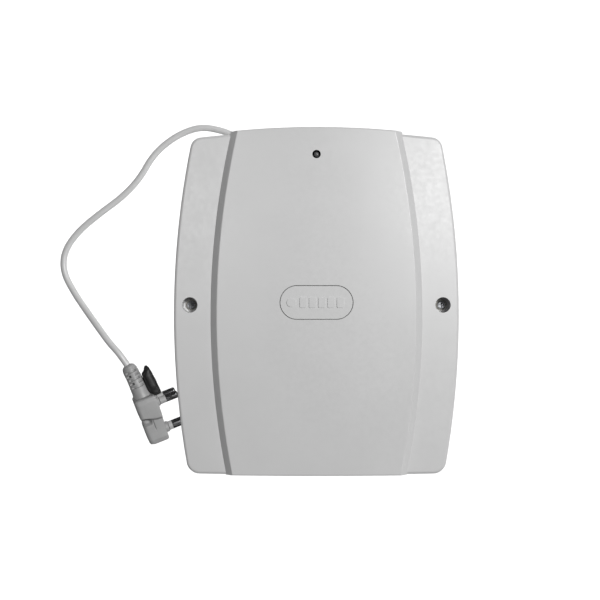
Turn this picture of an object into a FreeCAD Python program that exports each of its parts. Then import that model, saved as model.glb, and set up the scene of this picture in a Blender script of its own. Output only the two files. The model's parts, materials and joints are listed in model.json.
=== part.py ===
"""Battery-backed power supply unit in a wall-mount plastic enclosure, with its mains lead and plug.

Millimetres. The unit lies on its back: the back plate is on z = 0, +Z points out of the front cover and
+Y points to the unit's top. The origin is the middle of the back. The lead leaves the top of the base and
lies on the same surface as the unit, with its plug on its side at the lower left.
"""
import math
import os

import FreeCAD
import Part

Vector = FreeCAD.Vector
X_AXIS = Vector(1, 0, 0)
Y_AXIS = Vector(0, 1, 0)
Z_AXIS = Vector(0, 0, 1)

# ---- Enclosure outline, at the height of the wings -----------------------------------------------------
HALF_WIDTH = 133.0          # half the width at the widest place
WIDEST_Y = -13.0            # height of that place
SIDE_RADIUS = 800.0         # bow of the two sides
WING_TOP = 158.5            # top edge of the wings, continued to the middle
WING_TOP_RADIUS = 995.0
WING_BOTTOM = 161.7
WING_BOTTOM_RADIUS = 9000.0
PANEL_TOP = 161.3           # top edge of the raised panel at the middle
PANEL_TOP_RADIUS = 823.0
PANEL_BOTTOM = 162.1
PANEL_BOTTOM_RADIUS = 8400.0
PANEL_HALF = 98.85          # half width of the panel at the foot of its sloped sides
PANEL_RADIUS = 776.0        # bow of the panel's sides
SLOPE_WIDTH = 6.3           # width of the sloped step beside the panel
TOP_CORNER_RADIUS = 11.0
BOTTOM_CORNER_RADIUS = 12.5

# ---- Enclosure heights ---------------------------------------------------------------------------------
BACK_THICKNESS = 3.0
FLANGE_Z = 23.0             # underside of the rim flange
RIM_Z = 26.0                # top of the flange, where the cover sits
SLOPE_FOOT_Z = 82.2         # foot of the sloped step
PANEL_EDGE_Z = 88.4         # top of the sloped step
WING_CROWN_Z = 84.0         # crown of the wings, continued to the middle
WING_CROWN_RADIUS = 3000.0
PANEL_CROWN_Z = 89.5
PANEL_CROWN_RADIUS = 4000.0
RIM_GROWTH = 1.0            # draft: how much wider the walls are at the rim than at the wings
WALL = 2.5
FRONT_ROUNDING = 2.6
PANEL_ROUNDING = 1.2
LIP_GAP = 0.4
LIP_THICKNESS = 2.0
LIP_TOP_Z = 34.0

# ---- Plinth behind the flange --------------------------------------------------------------------------
PLINTH_X = 110.0
PLINTH_LOW_Y = -150.0
PLINTH_HIGH_Y = 146.0
PLINTH_CORNER = 9.0
BAY_X0 = -104.0             # recess in the plinth's top wall, where the lead leaves
BAY_X1 = -42.0
BAY_Y = 110.0
WALL_HOLE_X = 98.0          # four wall fixing holes
WALL_HOLE_LOW_Y = -138.0
WALL_HOLE_HIGH_Y = 98.0
WALL_HOLE_RADIUS = 2.75
ENTRY_RADIUS = 7.0          # two cable entries in the right-hand wall
ENTRY_Z = 12.0
ENTRY_YS = (44.0, 78.0)
VENT_PITCH = 12.0
VENT_COUNT = 9

# ---- Cover screws --------------------------------------------------------------------------------------
WELL_X = 118.0
WELL_Y = -3.7
WELL_RADIUS = 7.2
WELL_WALL = 1.8
WELL_FLOOR_Z = 65.0
WELL_FLOOR = 3.0
TOWER_TOP_Z = 61.8
TOWER_RADIUS = 6.0
INSERT_RADIUS = 2.8
INSERT_LENGTH = 10.0
SCREW_RADIUS = 2.0
SCREW_CLEARANCE = 0.06
WASHER_THICKNESS = 1.0
WASHER_RADIUS = 5.0
HEAD_RADIUS = 4.0
HEAD_HEIGHT = 3.0
SCREW_LENGTH = 16.0

# ---- Front details -------------------------------------------------------------------------------------
LAMP_X = 0.0
LAMP_Y = 136.0
LAMP_HOLE_RADIUS = 3.9
LAMP_RADIUS = 2.6
LAMP_TOP_Z = 88.0
BADGE_Y = -1.4
BADGE_LENGTH = 68.4
BADGE_WIDTH = 32.0
BADGE_FLOOR_Z = 88.1
BADGE_GAP = 0.75
BADGE_THICKNESS = 1.1
RELIEF_HEIGHT = 0.6

# ---- Mains lead ----------------------------------------------------------------------------------------
CORD_DIAMETER = 6.4
CORE_DIAMETER = 2.3
EXIT_X = -63.0
EXIT_Z = 10.0
BOOT_TIP_Y = 131.5
CORD_ROUTE = [
    (-63.0, 131.5, 10.0),
    (-63.0, 139.5, 10.0),
    (-66.3, 150.0, 9.2),
    (-72.6, 159.0, 8.0),
    (-81.5, 165.0, 6.6),
    (-96.5, 170.5, 5.0),
    (-114.0, 173.2, 3.9),
    (-131.5, 168.0, 3.3),
    (-148.0, 158.0, 3.2),
    (-163.0, 143.5, 3.2),
    (-175.0, 122.0, 3.2),
    (-192.5, 103.5, 3.2),
    (-214.5, 87.5, 3.2),
    (-236.5, 69.5, 3.2),
    (-250.5, 49.5, 3.2),
    (-251.5, 29.0, 3.4),
    (-240.0, 8.0, 6.0),
    (-225.0, -12.0, 13.5),
    (-211.0, -29.0, 23.5),
    (-200.5, -42.0, 29.3),
    (-191.0, -51.5, 31.8),
    (-183.6, -62.7, 30.6),
]

# ---- Plug: pin sizes are those of the BS 546 15 A pattern ------------------------------------------------
LIVE_PIN_RADIUS = 3.53
LIVE_PIN_LENGTH = 18.64
LIVE_PIN_SPACING = 25.4
EARTH_PIN_RADIUS = 4.355
EARTH_PIN_LENGTH = 28.58
EARTH_PIN_DISTANCE = 28.58
PIN_BOSS = 2.5              # raised boss at the foot of each pin
LIVE_SLEEVE = 6.0
EARTH_SLEEVE = 3.6
SLEEVE_WALL = 0.35
PLUG_DEPTH = 21.5           # from the face to the back
SHOULDER_HALF = 21.5        # half width at the line and neutral pins
FOOT_HALF = 17.0            # half width at the earth pin
PLUG_TOP = 8.2              # from the line pin's axis to the end with the boot
PLUG_BOTTOM = -38.0
SHOULDER_END = -12.0
BOOT_LENGTH = 34.0
PLUG_PLACE = Vector(-156.3, -97.0, 22.7)
PLUG_TURN = 19.9            # turn on the floor, degrees
PLUG_TILT = 7.5             # the earth end is lower
PLUG_ROLL = 10.0            # the pins point slightly down

# ---- Inside --------------------------------------------------------------------------------------------
BATTERY = (151.0, 94.0, 65.0)
BATTERY_LOW_Y = -146.5
PAD_THICKNESS = 1.0
BATTERY_LID_DEPTH = 8.0
PILLAR_X = 86.0
PILLAR_Y = -98.0
BOARD_X0 = -24.0
BOARD_X1 = 88.0
BOARD_Y0 = 28.0
BOARD_Y1 = 141.0
BOARD_Z = 12.0
BOARD_THICKNESS = 1.6
BOARD_TOP = BOARD_Z + BOARD_THICKNESS
BOARD_HOLES = [(-18.0, 34.0), (82.0, 34.0), (-18.0, 135.0), (82.0, 135.0)]
BLOCK_X0 = -83.0
BLOCK_X1 = -43.0
BLOCK_Y0 = 66.0
BLOCK_Y1 = 84.0
BLOCK_TOP_Z = 21.0
BLOCK_POLES = [-73.0, -63.0, -53.0]
OUTPUT_PITCH = 5.08
OUTPUT_X = 79.0
OUTPUT_Y0 = 56.0
OUTPUT_COUNT = 4
FUSE_Y = 118.0
FUSE_X0 = 12.0
FUSE_LENGTH = 20.0
FUSE_RADIUS = 2.6
FUSE_Z = BOARD_TOP + 5.5
TAIL_END_Y = 92.5             # end of the lead's sheath inside
CLAMP_Y0 = 95.0               # clamp over the lead
CLAMP_Y1 = 103.0
CORE_X0 = -98.0               # transformer's iron core
CORE_X1 = -41.0
CORE_Y0 = 17.0
CORE_Y1 = 45.0
CORE_Z0 = 5.0
CORE_Z1 = 53.0
WINDING_Y0 = 6.5              # transformer's winding, longer than the core
WINDING_Y1 = 55.5
BATTERY_TOP_Y = BATTERY_LOW_Y + BATTERY[1]
BATTERY_Z0 = BACK_THICKNESS + PAD_THICKNESS
BATTERY_Z1 = BATTERY_Z0 + BATTERY[2]
TAB_X = 66.0                  # the battery's two terminals
TAB_Z = BATTERY_Z1 - 9.0


# ---- General helpers -----------------------------------------------------------------------------------
def save(name, shape):
    """Write one sub-part as its own STEP file."""
    if shape.isNull() or not shape.isValid():
        raise ValueError(name + " is not a valid solid")
    shape.exportStep("parts/" + name + ".step")


def box(low, high):
    size = [b - a for a, b in zip(low, high)]
    return Part.makeBox(size[0], size[1], size[2], Vector(*low))


def cylinder(radius, x, y, z0, z1):
    return Part.makeCylinder(radius, z1 - z0, Vector(x, y, z0), Z_AXIS)


def cylinder_along(radius, start, end):
    direction = Vector(*end) - Vector(*start)
    return Part.makeCylinder(radius, direction.Length, Vector(*start), direction)


def joined(shapes):
    result = shapes[0].fuse(list(shapes[1:]))
    return result.removeSplitter()


def upright_edges(shape, least_height):
    """The edges that run mostly along Z."""
    found = []
    for edge in shape.Edges:
        bounds = edge.BoundBox
        if bounds.ZLength >= least_height and bounds.XLength < 2.5 and bounds.YLength < 2.5:
            found.append(edge)
    return found


def rounded_box(low, high, radius):
    """A box whose upright edges are rounded."""
    block = box(low, high)
    return block.makeFillet(radius, upright_edges(block, 0.9 * (high[2] - low[2])))


def soft_box(low, high, radius):
    """A box with every edge rounded."""
    block = box(low, high)
    return block.makeFillet(radius, block.Edges)


def pill(length, width, y, z0, z1):
    """A flat bar with round ends, centred on x = 0."""
    half = (length - width) / 2
    middle = box((-half, y - width / 2, z0), (half, y + width / 2, z1))
    ends = [cylinder(width / 2, x, y, z0, z1) for x in (-half, half)]
    return joined([middle] + ends)


def bent_path(points):
    """Straight runs joined by tangent arcs. Returns the wire and the arcs' radii."""
    points = [Vector(*p) for p in points]
    edges = []
    radii = []
    start = points[0]
    for before, corner, after in zip(points, points[1:], points[2:]):
        run_in = corner - before
        run_out = after - corner
        turn = run_in.getAngle(run_out)
        cut = 0.45 * min(run_in.Length, run_out.Length)
        radius = cut / math.tan(turn / 2)
        run_in.normalize()
        run_out.normalize()
        first = corner - run_in * cut
        last = corner + run_out * cut
        inward = run_out - run_in
        inward.normalize()
        centre_distance = radius / math.cos(turn / 2)
        middle = corner + inward * (centre_distance - radius)
        edges.append(Part.LineSegment(start, first).toShape())
        edges.append(Part.Arc(first, middle, last).toShape())
        radii.append(radius)
        start = last
    edges.append(Part.LineSegment(start, points[-1]).toShape())
    return Part.Wire(edges), radii


def tube(points, diameter, name=None):
    """A round cord or wire along the bent path through the points."""
    path, radii = bent_path(points)
    start = Vector(*points[0])
    direction = Vector(*points[1]) - start
    section = Part.Wire(Part.Circle(start, direction, diameter / 2).toShape())
    solid = path.makePipeShell([section], True, False)
    if name:
        expected = math.pi * diameter ** 2 / 4 * path.Length
        print(name, "length %.1f, least radius %.1f (%.1f diameters), volume ratio %.4f"
              % (path.Length, min(radii), min(radii) / diameter, solid.Volume / expected))
        print(name, "radii", " ".join("%.0f" % r for r in radii))
    return solid


def pan_head(radius, x, y, z):
    """A low pan head with a cross slot, standing on height z."""
    height = 0.75 * radius
    head = cylinder(radius, x, y, z, z + height)
    head = head.makeFillet(0.45 * height, [e for e in head.Edges if e.BoundBox.ZMin > z + 0.9 * height])
    reach = 0.62 * radius
    width = 0.16 * radius
    top = z + height
    low = top - 0.5 * height
    head = head.cut(box((x - reach, y - width, low), (x + reach, y + width, top + 1)))
    return head.cut(box((x - width, y - reach, low), (x + width, y + reach, top + 1)))


# ---- Enclosure outline ---------------------------------------------------------------------------------
def sagitta(radius, distance):
    return radius - math.sqrt(radius ** 2 - distance ** 2)


def bowed_wire(half, side_radius, top, top_radius, bottom, bottom_radius, z):
    """A closed outline of four arcs, each bowed outward."""
    def side_x(y):
        return half - sagitta(side_radius, y - WIDEST_Y)

    high_x = side_x(top)
    low_x = side_x(-bottom)
    for _ in range(8):
        high_y = top - sagitta(top_radius, high_x)
        high_x = side_x(high_y)
        low_y = -bottom + sagitta(bottom_radius, low_x)
        low_x = side_x(low_y)
    corners = [Vector(high_x, high_y, z), Vector(-high_x, high_y, z),
               Vector(-low_x, low_y, z), Vector(low_x, low_y, z)]
    middles = [Vector(0, top, z), Vector(-half, WIDEST_Y, z),
               Vector(0, -bottom, z), Vector(half, WIDEST_Y, z)]
    arcs = []
    for i in range(4):
        arcs.append(Part.Arc(corners[i], middles[i], corners[(i + 1) % 4]).toShape())
    return Part.Wire(arcs)


def wing_wire(growth, z):
    return bowed_wire(HALF_WIDTH + growth, SIDE_RADIUS, WING_TOP + growth, WING_TOP_RADIUS,
                      WING_BOTTOM + growth, WING_BOTTOM_RADIUS, z)


def panel_wire(growth, z, narrowing=0.0):
    return bowed_wire(PANEL_HALF + growth - narrowing, PANEL_RADIUS, PANEL_TOP + growth, PANEL_TOP_RADIUS,
                      PANEL_BOTTOM + growth, PANEL_BOTTOM_RADIUS, z)


def between(low_wire, high_wire):
    return Part.makeLoft([low_wire, high_wire], True, True)


def crowned(shape, crown_z, radius):
    """Cut a shape to below a large cylinder that lies along Y."""
    roller = Part.makeCylinder(radius, 800)
    roller.rotate(Vector(0, 0, 0), X_AXIS, -90)
    roller.translate(Vector(0, -400, crown_z - radius))
    return shape.common(roller)


def round_corners(shape, inset):
    """Round the four upright corners of a wing prism."""
    for low, radius in ((True, BOTTOM_CORNER_RADIUS), (False, TOP_CORNER_RADIUS)):
        chosen = []
        for edge in upright_edges(shape, 2.0):
            centre = edge.BoundBox.Center
            if abs(centre.x) > 100 and (centre.y < 0) == low:
                chosen.append(edge)
        shape = shape.makeFillet(radius - inset, chosen)
    return shape


def enclosure_form(inset, z_low, z_high):
    """The wings and the panel as one upright form, inset evenly from the outline."""
    def growth(z):
        share = (SLOPE_FOOT_Z - z) / (SLOPE_FOOT_Z - RIM_Z)
        return RIM_GROWTH * min(max(share, 0.0), 1.0) - inset

    wings = between(wing_wire(growth(z_low), z_low), wing_wire(growth(z_high), z_high))
    wings = round_corners(wings, inset)
    panel = between(panel_wire(growth(z_low), z_low), panel_wire(growth(z_high), z_high))
    return wings, panel


def rim_edges(shape, least_z):
    """The edges that lie wholly above a height: the border of a crowned face."""
    return [e for e in shape.Edges if e.BoundBox.ZMin > least_z]


def outer_form(inset, rounded=False):
    """The whole outside of the cover, or the hollow inside it when inset by the wall."""
    foot = SLOPE_FOOT_Z - inset
    wings, _ = enclosure_form(inset, RIM_Z, WING_CROWN_Z + 1)
    wings = crowned(wings, WING_CROWN_Z - inset, WING_CROWN_RADIUS)
    _, panel = enclosure_form(inset, RIM_Z, foot)
    rise = PANEL_CROWN_Z + 1 - SLOPE_FOOT_Z
    narrowing = SLOPE_WIDTH * rise / (PANEL_EDGE_Z - SLOPE_FOOT_Z)
    step = between(panel_wire(-inset, foot), panel_wire(-inset, foot + rise, narrowing))
    step = crowned(step, PANEL_CROWN_Z - inset, PANEL_CROWN_RADIUS)
    panel = joined([panel, step])
    if rounded:
        wings = wings.makeFillet(FRONT_ROUNDING, rim_edges(wings, SLOPE_FOOT_Z - 2))
        panel = panel.makeFillet(PANEL_ROUNDING, rim_edges(panel, SLOPE_FOOT_Z + 2))
    return joined([wings, panel])


# ---- Cover ---------------------------------------------------------------------------------------------
def make_cover():
    cover = outer_form(0.0, rounded=True).cut(outer_form(WALL))
    additions = []
    wells = []
    for side in (-1, 1):
        x = side * WELL_X
        boss = cylinder(WELL_RADIUS + WELL_WALL, x, WELL_Y, WELL_FLOOR_Z - WELL_FLOOR, SLOPE_FOOT_Z - 1)
        additions.append(boss)
        wells.append(cylinder(WELL_RADIUS, x, WELL_Y, WELL_FLOOR_Z, 95))
        wells.append(cylinder(SCREW_RADIUS + 0.35, x, WELL_Y, WELL_FLOOR_Z - 10, 95))
    additions.append(pill(BADGE_LENGTH + 4, BADGE_WIDTH + 4, BADGE_Y, BADGE_FLOOR_Z - 3, BADGE_FLOOR_Z - 0.6))
    for y in (-96.0, 72.0):
        additions.append(box((-88, y, 80), (88, y + 1.6, PANEL_CROWN_Z - WALL)))
    cover = joined([cover] + additions)
    for cut in wells:
        cover = cover.cut(cut)
    cover = cover.cut(cylinder(LAMP_HOLE_RADIUS, LAMP_X, LAMP_Y, 70, 95))
    return cover.cut(pill(BADGE_LENGTH, BADGE_WIDTH, BADGE_Y, BADGE_FLOOR_Z, 95))


def make_badge():
    """Oval insert with a plain relief: a dot and a row of equal bars."""
    top = BADGE_FLOOR_Z + BADGE_THICKNESS
    plate = pill(BADGE_LENGTH - 2 * BADGE_GAP, BADGE_WIDTH - 2 * BADGE_GAP, BADGE_Y, BADGE_FLOOR_Z, top)
    relief = [cylinder(4.2, -23.5, BADGE_Y, top - 0.3, top + RELIEF_HEIGHT)]
    for i in range(5):
        x = -15.5 + 8.6 * i
        low = (x, BADGE_Y - 4.8, top - 0.3)
        relief.append(rounded_box(low, (x + 6.4, BADGE_Y + 4.8, top + RELIEF_HEIGHT), 1.2))
    return joined([plate] + relief)


# ---- Base ----------------------------------------------------------------------------------------------
def make_base():
    wings, panel = enclosure_form(0.0, FLANGE_Z, RIM_Z)
    flange = joined([wings, panel])
    plinth = rounded_box((-PLINTH_X, PLINTH_LOW_Y, 0), (PLINTH_X, PLINTH_HIGH_Y, FLANGE_Z + 1), PLINTH_CORNER)
    plinth = plinth.cut(box((BAY_X0, BAY_Y, -1), (BAY_X1, PLINTH_HIGH_Y + 1, FLANGE_Z)))
    lip_wings, lip_panel = enclosure_form(WALL + LIP_GAP, RIM_Z - 0.5, LIP_TOP_Z)
    inner_wings, inner_panel = enclosure_form(WALL + LIP_GAP + LIP_THICKNESS, RIM_Z - 1, LIP_TOP_Z + 1)
    lip = joined([lip_wings, lip_panel]).cut(joined([inner_wings, inner_panel]))
    shell = joined([flange, plinth, lip])

    hollow = rounded_box((-PLINTH_X + WALL, PLINTH_LOW_Y + WALL, BACK_THICKNESS),
                         (PLINTH_X - WALL, PLINTH_HIGH_Y - WALL, RIM_Z + 1), PLINTH_CORNER - WALL)
    hollow = hollow.cut(box((BAY_X0 - WALL, BAY_Y - WALL, 0), (BAY_X1 + WALL, PLINTH_HIGH_Y, RIM_Z + 2)))
    shell = shell.cut(hollow)

    solids = []
    for side in (-1, 1):
        solids.append(cylinder(TOWER_RADIUS, side * WELL_X, WELL_Y, FLANGE_Z + 1, TOWER_TOP_Z))
        solids.append(box((side * WELL_X - 1, WELL_Y - 12, FLANGE_Z + 1),
                          (side * WELL_X + 1, WELL_Y + 12, 44)))
        solids.append(cylinder(4.5, side * PILLAR_X, PILLAR_Y, 1, 69))
        rib_x = side * (BATTERY[0] / 2 + 1.4)
        solids.append(box((rib_x - 0.9, BATTERY_LOW_Y + 2, 1), (rib_x + 0.9, -60, 16)))
    solids.append(box((-50, BATTERY_LOW_Y + BATTERY[1] + 0.6, 1), (50, BATTERY_LOW_Y + BATTERY[1] + 2.4, 16)))
    for x, y in BOARD_HOLES:
        solids.append(cylinder(3.6, x, y, 1, BOARD_Z))
    base = joined([shell] + solids)

    for side in (-1, 1):
        base = base.cut(cylinder(INSERT_RADIUS, side * WELL_X, WELL_Y, TOWER_TOP_Z - INSERT_LENGTH, 70))
        base = base.cut(cylinder(SCREW_RADIUS + 0.4, side * WELL_X, WELL_Y, 44, 70))
        base = base.cut(cylinder(1.4, side * PILLAR_X, PILLAR_Y, 58, 70))
        for y in (WALL_HOLE_LOW_Y, WALL_HOLE_HIGH_Y):
            base = base.cut(cylinder(WALL_HOLE_RADIUS, side * WALL_HOLE_X, y, -1, 5))
    for x, y in BOARD_HOLES:
        base = base.cut(cylinder(1.2, x, y, 5, 20))
    for y in ENTRY_YS:
        base = base.cut(cylinder_along(ENTRY_RADIUS, (PLINTH_X - 5, y, ENTRY_Z), (PLINTH_X + 5, y, ENTRY_Z)))
    base = base.cut(cylinder_along(5.6, (EXIT_X, BAY_Y - 5, EXIT_Z), (EXIT_X, BAY_Y + 2, EXIT_Z)))
    for i in range(VENT_COUNT):
        x = (i - (VENT_COUNT - 1) / 2) * VENT_PITCH
        base = base.cut(box((x - 2, PLINTH_LOW_Y - 1, 8), (x + 2, PLINTH_LOW_Y + 4, 19)))
    return base


# ---- Cover screws --------------------------------------------------------------------------------------
def make_screw(x):
    head_z = WELL_FLOOR_Z + WASHER_THICKNESS
    head = cylinder(HEAD_RADIUS, x, WELL_Y, head_z, head_z + HEAD_HEIGHT)
    head = head.makeFillet(1.2, [e for e in head.Edges if e.BoundBox.ZMin > head_z + 1])
    top = head_z + HEAD_HEIGHT
    for reach_x, reach_y in ((2.6, 0.5), (0.5, 2.6)):
        low = (x - reach_x, WELL_Y - reach_y, top - 1.7)
        head = head.cut(box(low, (x + reach_x, WELL_Y + reach_y, top + 1)))
    shank = cylinder(SCREW_RADIUS, x, WELL_Y, head_z - SCREW_LENGTH, head_z + 0.5)
    tip = [e for e in shank.Edges if e.BoundBox.ZMax < head_z - SCREW_LENGTH + 0.1]
    return joined([head, shank.makeChamfer(0.6, tip)])


def ring(outer, inner, x, y, z0, z1):
    return cylinder(outer, x, y, z0, z1).cut(cylinder(inner, x, y, z0 - 1, z1 + 1))


def make_inserts():
    hole = SCREW_RADIUS + SCREW_CLEARANCE
    low = TOWER_TOP_Z - INSERT_LENGTH
    rings = [ring(INSERT_RADIUS, hole, side * WELL_X, WELL_Y, low, TOWER_TOP_Z) for side in (-1, 1)]
    return Part.makeCompound(rings)


# ---- Lead exit, clamp and mains terminals ----------------------------------------------------------------
def make_cord_boot():
    """Grommet in the bay's wall with a ribbed, tapered nose along the lead."""
    wall_in = BAY_Y - WALL

    def round_part(radius, y0, y1):
        return cylinder_along(radius, (EXIT_X, y0, EXIT_Z), (EXIT_X, y1, EXIT_Z))

    inner = round_part(6.9, wall_in - 2.2, wall_in)
    neck = round_part(5.6, wall_in, BAY_Y)
    outer = round_part(7.2, BAY_Y, BAY_Y + 2.2)
    nose = Part.makeCone(6.4, 4.3, BOOT_TIP_Y - BAY_Y - 2.2, Vector(EXIT_X, BAY_Y + 2.2, EXIT_Z), Y_AXIS)
    boot = joined([inner, neck, outer, nose])
    boot = boot.cut(round_part(CORD_DIAMETER / 2 + 0.02, wall_in - 5, BOOT_TIP_Y + 1))
    for i in range(4):
        y = BAY_Y + 5.0 + 3.6 * i
        for side in (-1, 1):
            x = EXIT_X + side * 5.6
            boot = boot.cut(box((x - 1.6, y, EXIT_Z - 5), (x + 1.6, y + 1.3, EXIT_Z + 5)))
    return boot


def make_clamp():
    saddle_low = (EXIT_X - 15, CLAMP_Y0, BACK_THICKNESS + 3.4)
    saddle = soft_box(saddle_low, (EXIT_X + 15, CLAMP_Y1, EXIT_Z + 5.6), 0.8)
    posts = box((EXIT_X - 15, CLAMP_Y0, BACK_THICKNESS), (EXIT_X + 15, CLAMP_Y1, BACK_THICKNESS + 3.2))
    body = joined([saddle, posts])
    body = body.cut(cylinder_along(CORD_DIAMETER / 2 + 0.02, (EXIT_X, CLAMP_Y0 - 2, EXIT_Z),
                                   (EXIT_X, CLAMP_Y1 + 2, EXIT_Z)))
    return body


def make_clamp_screws():
    y = (CLAMP_Y0 + CLAMP_Y1) / 2
    heads = [pan_head(2.9, EXIT_X + side * 10.4, y, EXIT_Z + 5.6) for side in (-1, 1)]
    return Part.makeCompound(heads)


def make_mains_block():
    block = soft_box((BLOCK_X0, BLOCK_Y0, BACK_THICKNESS), (BLOCK_X1, BLOCK_Y1, BLOCK_TOP_Z), 0.9)
    for x in BLOCK_POLES:
        block = block.cut(cylinder(3.1, x, (BLOCK_Y0 + BLOCK_Y1) / 2, BLOCK_TOP_Z - 4.5, BLOCK_TOP_Z + 1))
    for x in (BLOCK_POLES[0] + 5, BLOCK_POLES[1] + 5):
        low = (x - 0.8, BLOCK_Y0 - 1, BLOCK_TOP_Z - 3)
        block = block.cut(box(low, (x + 0.8, BLOCK_Y1 + 1, BLOCK_TOP_Z + 1)))
    for x in BLOCK_POLES:
        block = block.cut(cylinder_along(1.7, (x, BLOCK_Y0 - 1, 11), (x, BLOCK_Y0 + 4, 11)))
        block = block.cut(cylinder_along(1.7, (x, BLOCK_Y1 - 4, 11), (x, BLOCK_Y1 + 1, 11)))
    return block


def make_block_screws():
    y = (BLOCK_Y0 + BLOCK_Y1) / 2
    heads = [pan_head(2.6, x, y, BLOCK_TOP_Z - 4.5) for x in BLOCK_POLES]
    return Part.makeCompound(heads)


def make_core(index):
    """One of the lead's inner wires, from the end of the sheath to its terminal."""
    pole = BLOCK_POLES[index]
    x = EXIT_X + (index - 1) * 1.25
    z = EXIT_Z + (1.4 if index == 1 else -0.7)
    points = [(x, TAIL_END_Y, z), (x, TAIL_END_Y - 2.2, z),
              (pole, BLOCK_Y1 + 1.6, 11), (pole, BLOCK_Y1 - 3.8, 11)]
    return tube(points, CORE_DIAMETER)


# ---- Transformer -----------------------------------------------------------------------------------------


def make_transformer_core():
    core = box((CORE_X0, CORE_Y0, CORE_Z0), (CORE_X1, CORE_Y1, CORE_Z1))
    window = 8.0
    leg = 9.5
    for x0 in (CORE_X0 + leg, CORE_X1 - leg - window):
        core = core.cut(box((x0, CORE_Y0 - 1, CORE_Z0 + leg), (x0 + window, CORE_Y1 + 1, CORE_Z1 - leg)))
    return core


def make_bobbin():
    """Two flanges and the tube that the windings sit on."""
    x0 = CORE_X0 + 9.9
    x1 = CORE_X1 - 9.9
    z0 = CORE_Z0 + 9.9
    z1 = CORE_Z1 - 9.9
    parts = []
    for y in (WINDING_Y0 - 1.4, WINDING_Y1):
        parts.append(rounded_y((x0 - 1.5, y, z0 - 1), (x1 + 1.5, y + 1.4, z1 + 1), 2.0))
    middle = box((x0 + 7.2, WINDING_Y0, z0 + 0.2), (x1 - 7.2, WINDING_Y1, z1 - 0.2))
    limb = box((CORE_X0 + 17.4, CORE_Y0 - 0.1, CORE_Z0), (CORE_X1 - 17.4, CORE_Y1 + 0.1, CORE_Z1))
    parts.append(middle.cut(limb))
    return Part.makeCompound(parts)


def rounded_y(low, high, radius):
    """A plate across Y with its four corners rounded."""
    block = box(low, high)
    chosen = [e for e in block.Edges if e.BoundBox.YLength > 0.9 * (high[1] - low[1])]
    return block.makeFillet(radius, chosen)


def make_windings():
    """The two visible bulges of tape-covered winding, one on each side of the core."""
    bulges = []
    for y0, y1 in ((WINDING_Y0 + 0.1, CORE_Y0 - 0.2), (CORE_Y1 + 0.2, WINDING_Y1 - 0.1)):
        low = (CORE_X0 + 10.4, y0, CORE_Z0 + 10.4)
        bulges.append(rounded_y(low, (CORE_X1 - 10.4, y1, CORE_Z1 - 10.4), 6.0))
    cut = box((CORE_X0 + 16.9, WINDING_Y0, CORE_Z0 + 10), (CORE_X1 - 16.9, WINDING_Y1, CORE_Z1 - 10))
    return Part.makeCompound([b.cut(cut) for b in bulges])


def make_transformer_frame():
    """Steel strap over the core with a foot on each side."""
    steel = 1.4
    y0 = CORE_Y0 + 2
    y1 = CORE_Y1 - 2
    outside = steel + 0.1
    outer = box((CORE_X0 - outside, y0, BACK_THICKNESS), (CORE_X1 + outside, y1, CORE_Z1 + outside))
    inner = box((CORE_X0 - 0.1, y0 - 1, BACK_THICKNESS - 1), (CORE_X1 + 0.1, y1 + 1, CORE_Z1 + 0.1))
    feet = [box((CORE_X0 - 8.8, y0, BACK_THICKNESS), (CORE_X0 - 0.2, y1, BACK_THICKNESS + steel)),
            box((CORE_X1 + 0.2, y0, BACK_THICKNESS), (CORE_X1 + 10, y1, BACK_THICKNESS + steel))]
    return joined([outer.cut(inner)] + feet)


def make_transformer_screws():
    z = BACK_THICKNESS + 1.4
    y = (CORE_Y0 + CORE_Y1) / 2
    return Part.makeCompound([pan_head(2.9, x, y, z) for x in (CORE_X0 - 5.2, CORE_X1 + 6.0)])


def make_primary_wires():
    wires = []
    for pole, out_x in ((BLOCK_POLES[0], -73.4), (BLOCK_POLES[1], -67.4)):
        wires.append(tube([(pole, BLOCK_Y0 + 3.8, 11), (pole, BLOCK_Y0 - 2.5, 11), (out_x, BLOCK_Y0 - 5, 16),
                           (out_x, WINDING_Y1 + 4.2, 23), (out_x, WINDING_Y1 + 2.8, 28)], CORE_DIAMETER))
    return Part.makeCompound(wires)


def make_earth_wire():
    pole = BLOCK_POLES[2]
    foot_x = CORE_X1 + 6
    return tube([(pole, BLOCK_Y0 + 3.8, 11), (pole, BLOCK_Y0 - 5, 11), (pole + 6, BLOCK_Y0 - 12, 10),
                 (foot_x, CORE_Y1 + 4, 8), (foot_x, CORE_Y1 - 6, 6.6)], CORE_DIAMETER)


def make_secondary_wires():
    wires = []
    for shift in (0.0, 5.0):
        end_x = -10.2 + shift
        wires.append(tube([(-66 - shift, WINDING_Y0 - 1.5, 32), (-66 - shift, -3 - 0.6 * shift, 31),
                           (-57 - shift, -11 - 0.6 * shift, 25), (-42, -11 - 0.8 * shift, 18.6),
                           (-26, -4 - shift, 16.4), (-14 + 0.8 * shift, 8 - 0.5 * shift, 16.6),
                           (end_x, 18, 17.2), (end_x, BOARD_Y0 - 1.1, 17.2)], CORE_DIAMETER))
    return Part.makeCompound(wires)


# ---- Circuit board -----------------------------------------------------------------------------------------
def make_board():
    board = rounded_box((BOARD_X0, BOARD_Y0, BOARD_Z), (BOARD_X1, BOARD_Y1, BOARD_TOP), 2.0)
    for x, y in BOARD_HOLES:
        board = board.cut(cylinder(1.6, x, y, BOARD_Z - 1, BOARD_TOP + 1))
    return board


def make_board_screws():
    return Part.makeCompound([pan_head(2.8, x, y, BOARD_TOP) for x, y in BOARD_HOLES])


def make_lamp_post():
    """Tall spacer that holds the lamp just under its hole in the cover."""
    post = cylinder(3.3, LAMP_X, LAMP_Y, BOARD_TOP, LAMP_TOP_Z - 6.4)
    foot = cylinder(4.4, LAMP_X, LAMP_Y, BOARD_TOP, BOARD_TOP + 3)
    return joined([post, foot])


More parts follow.
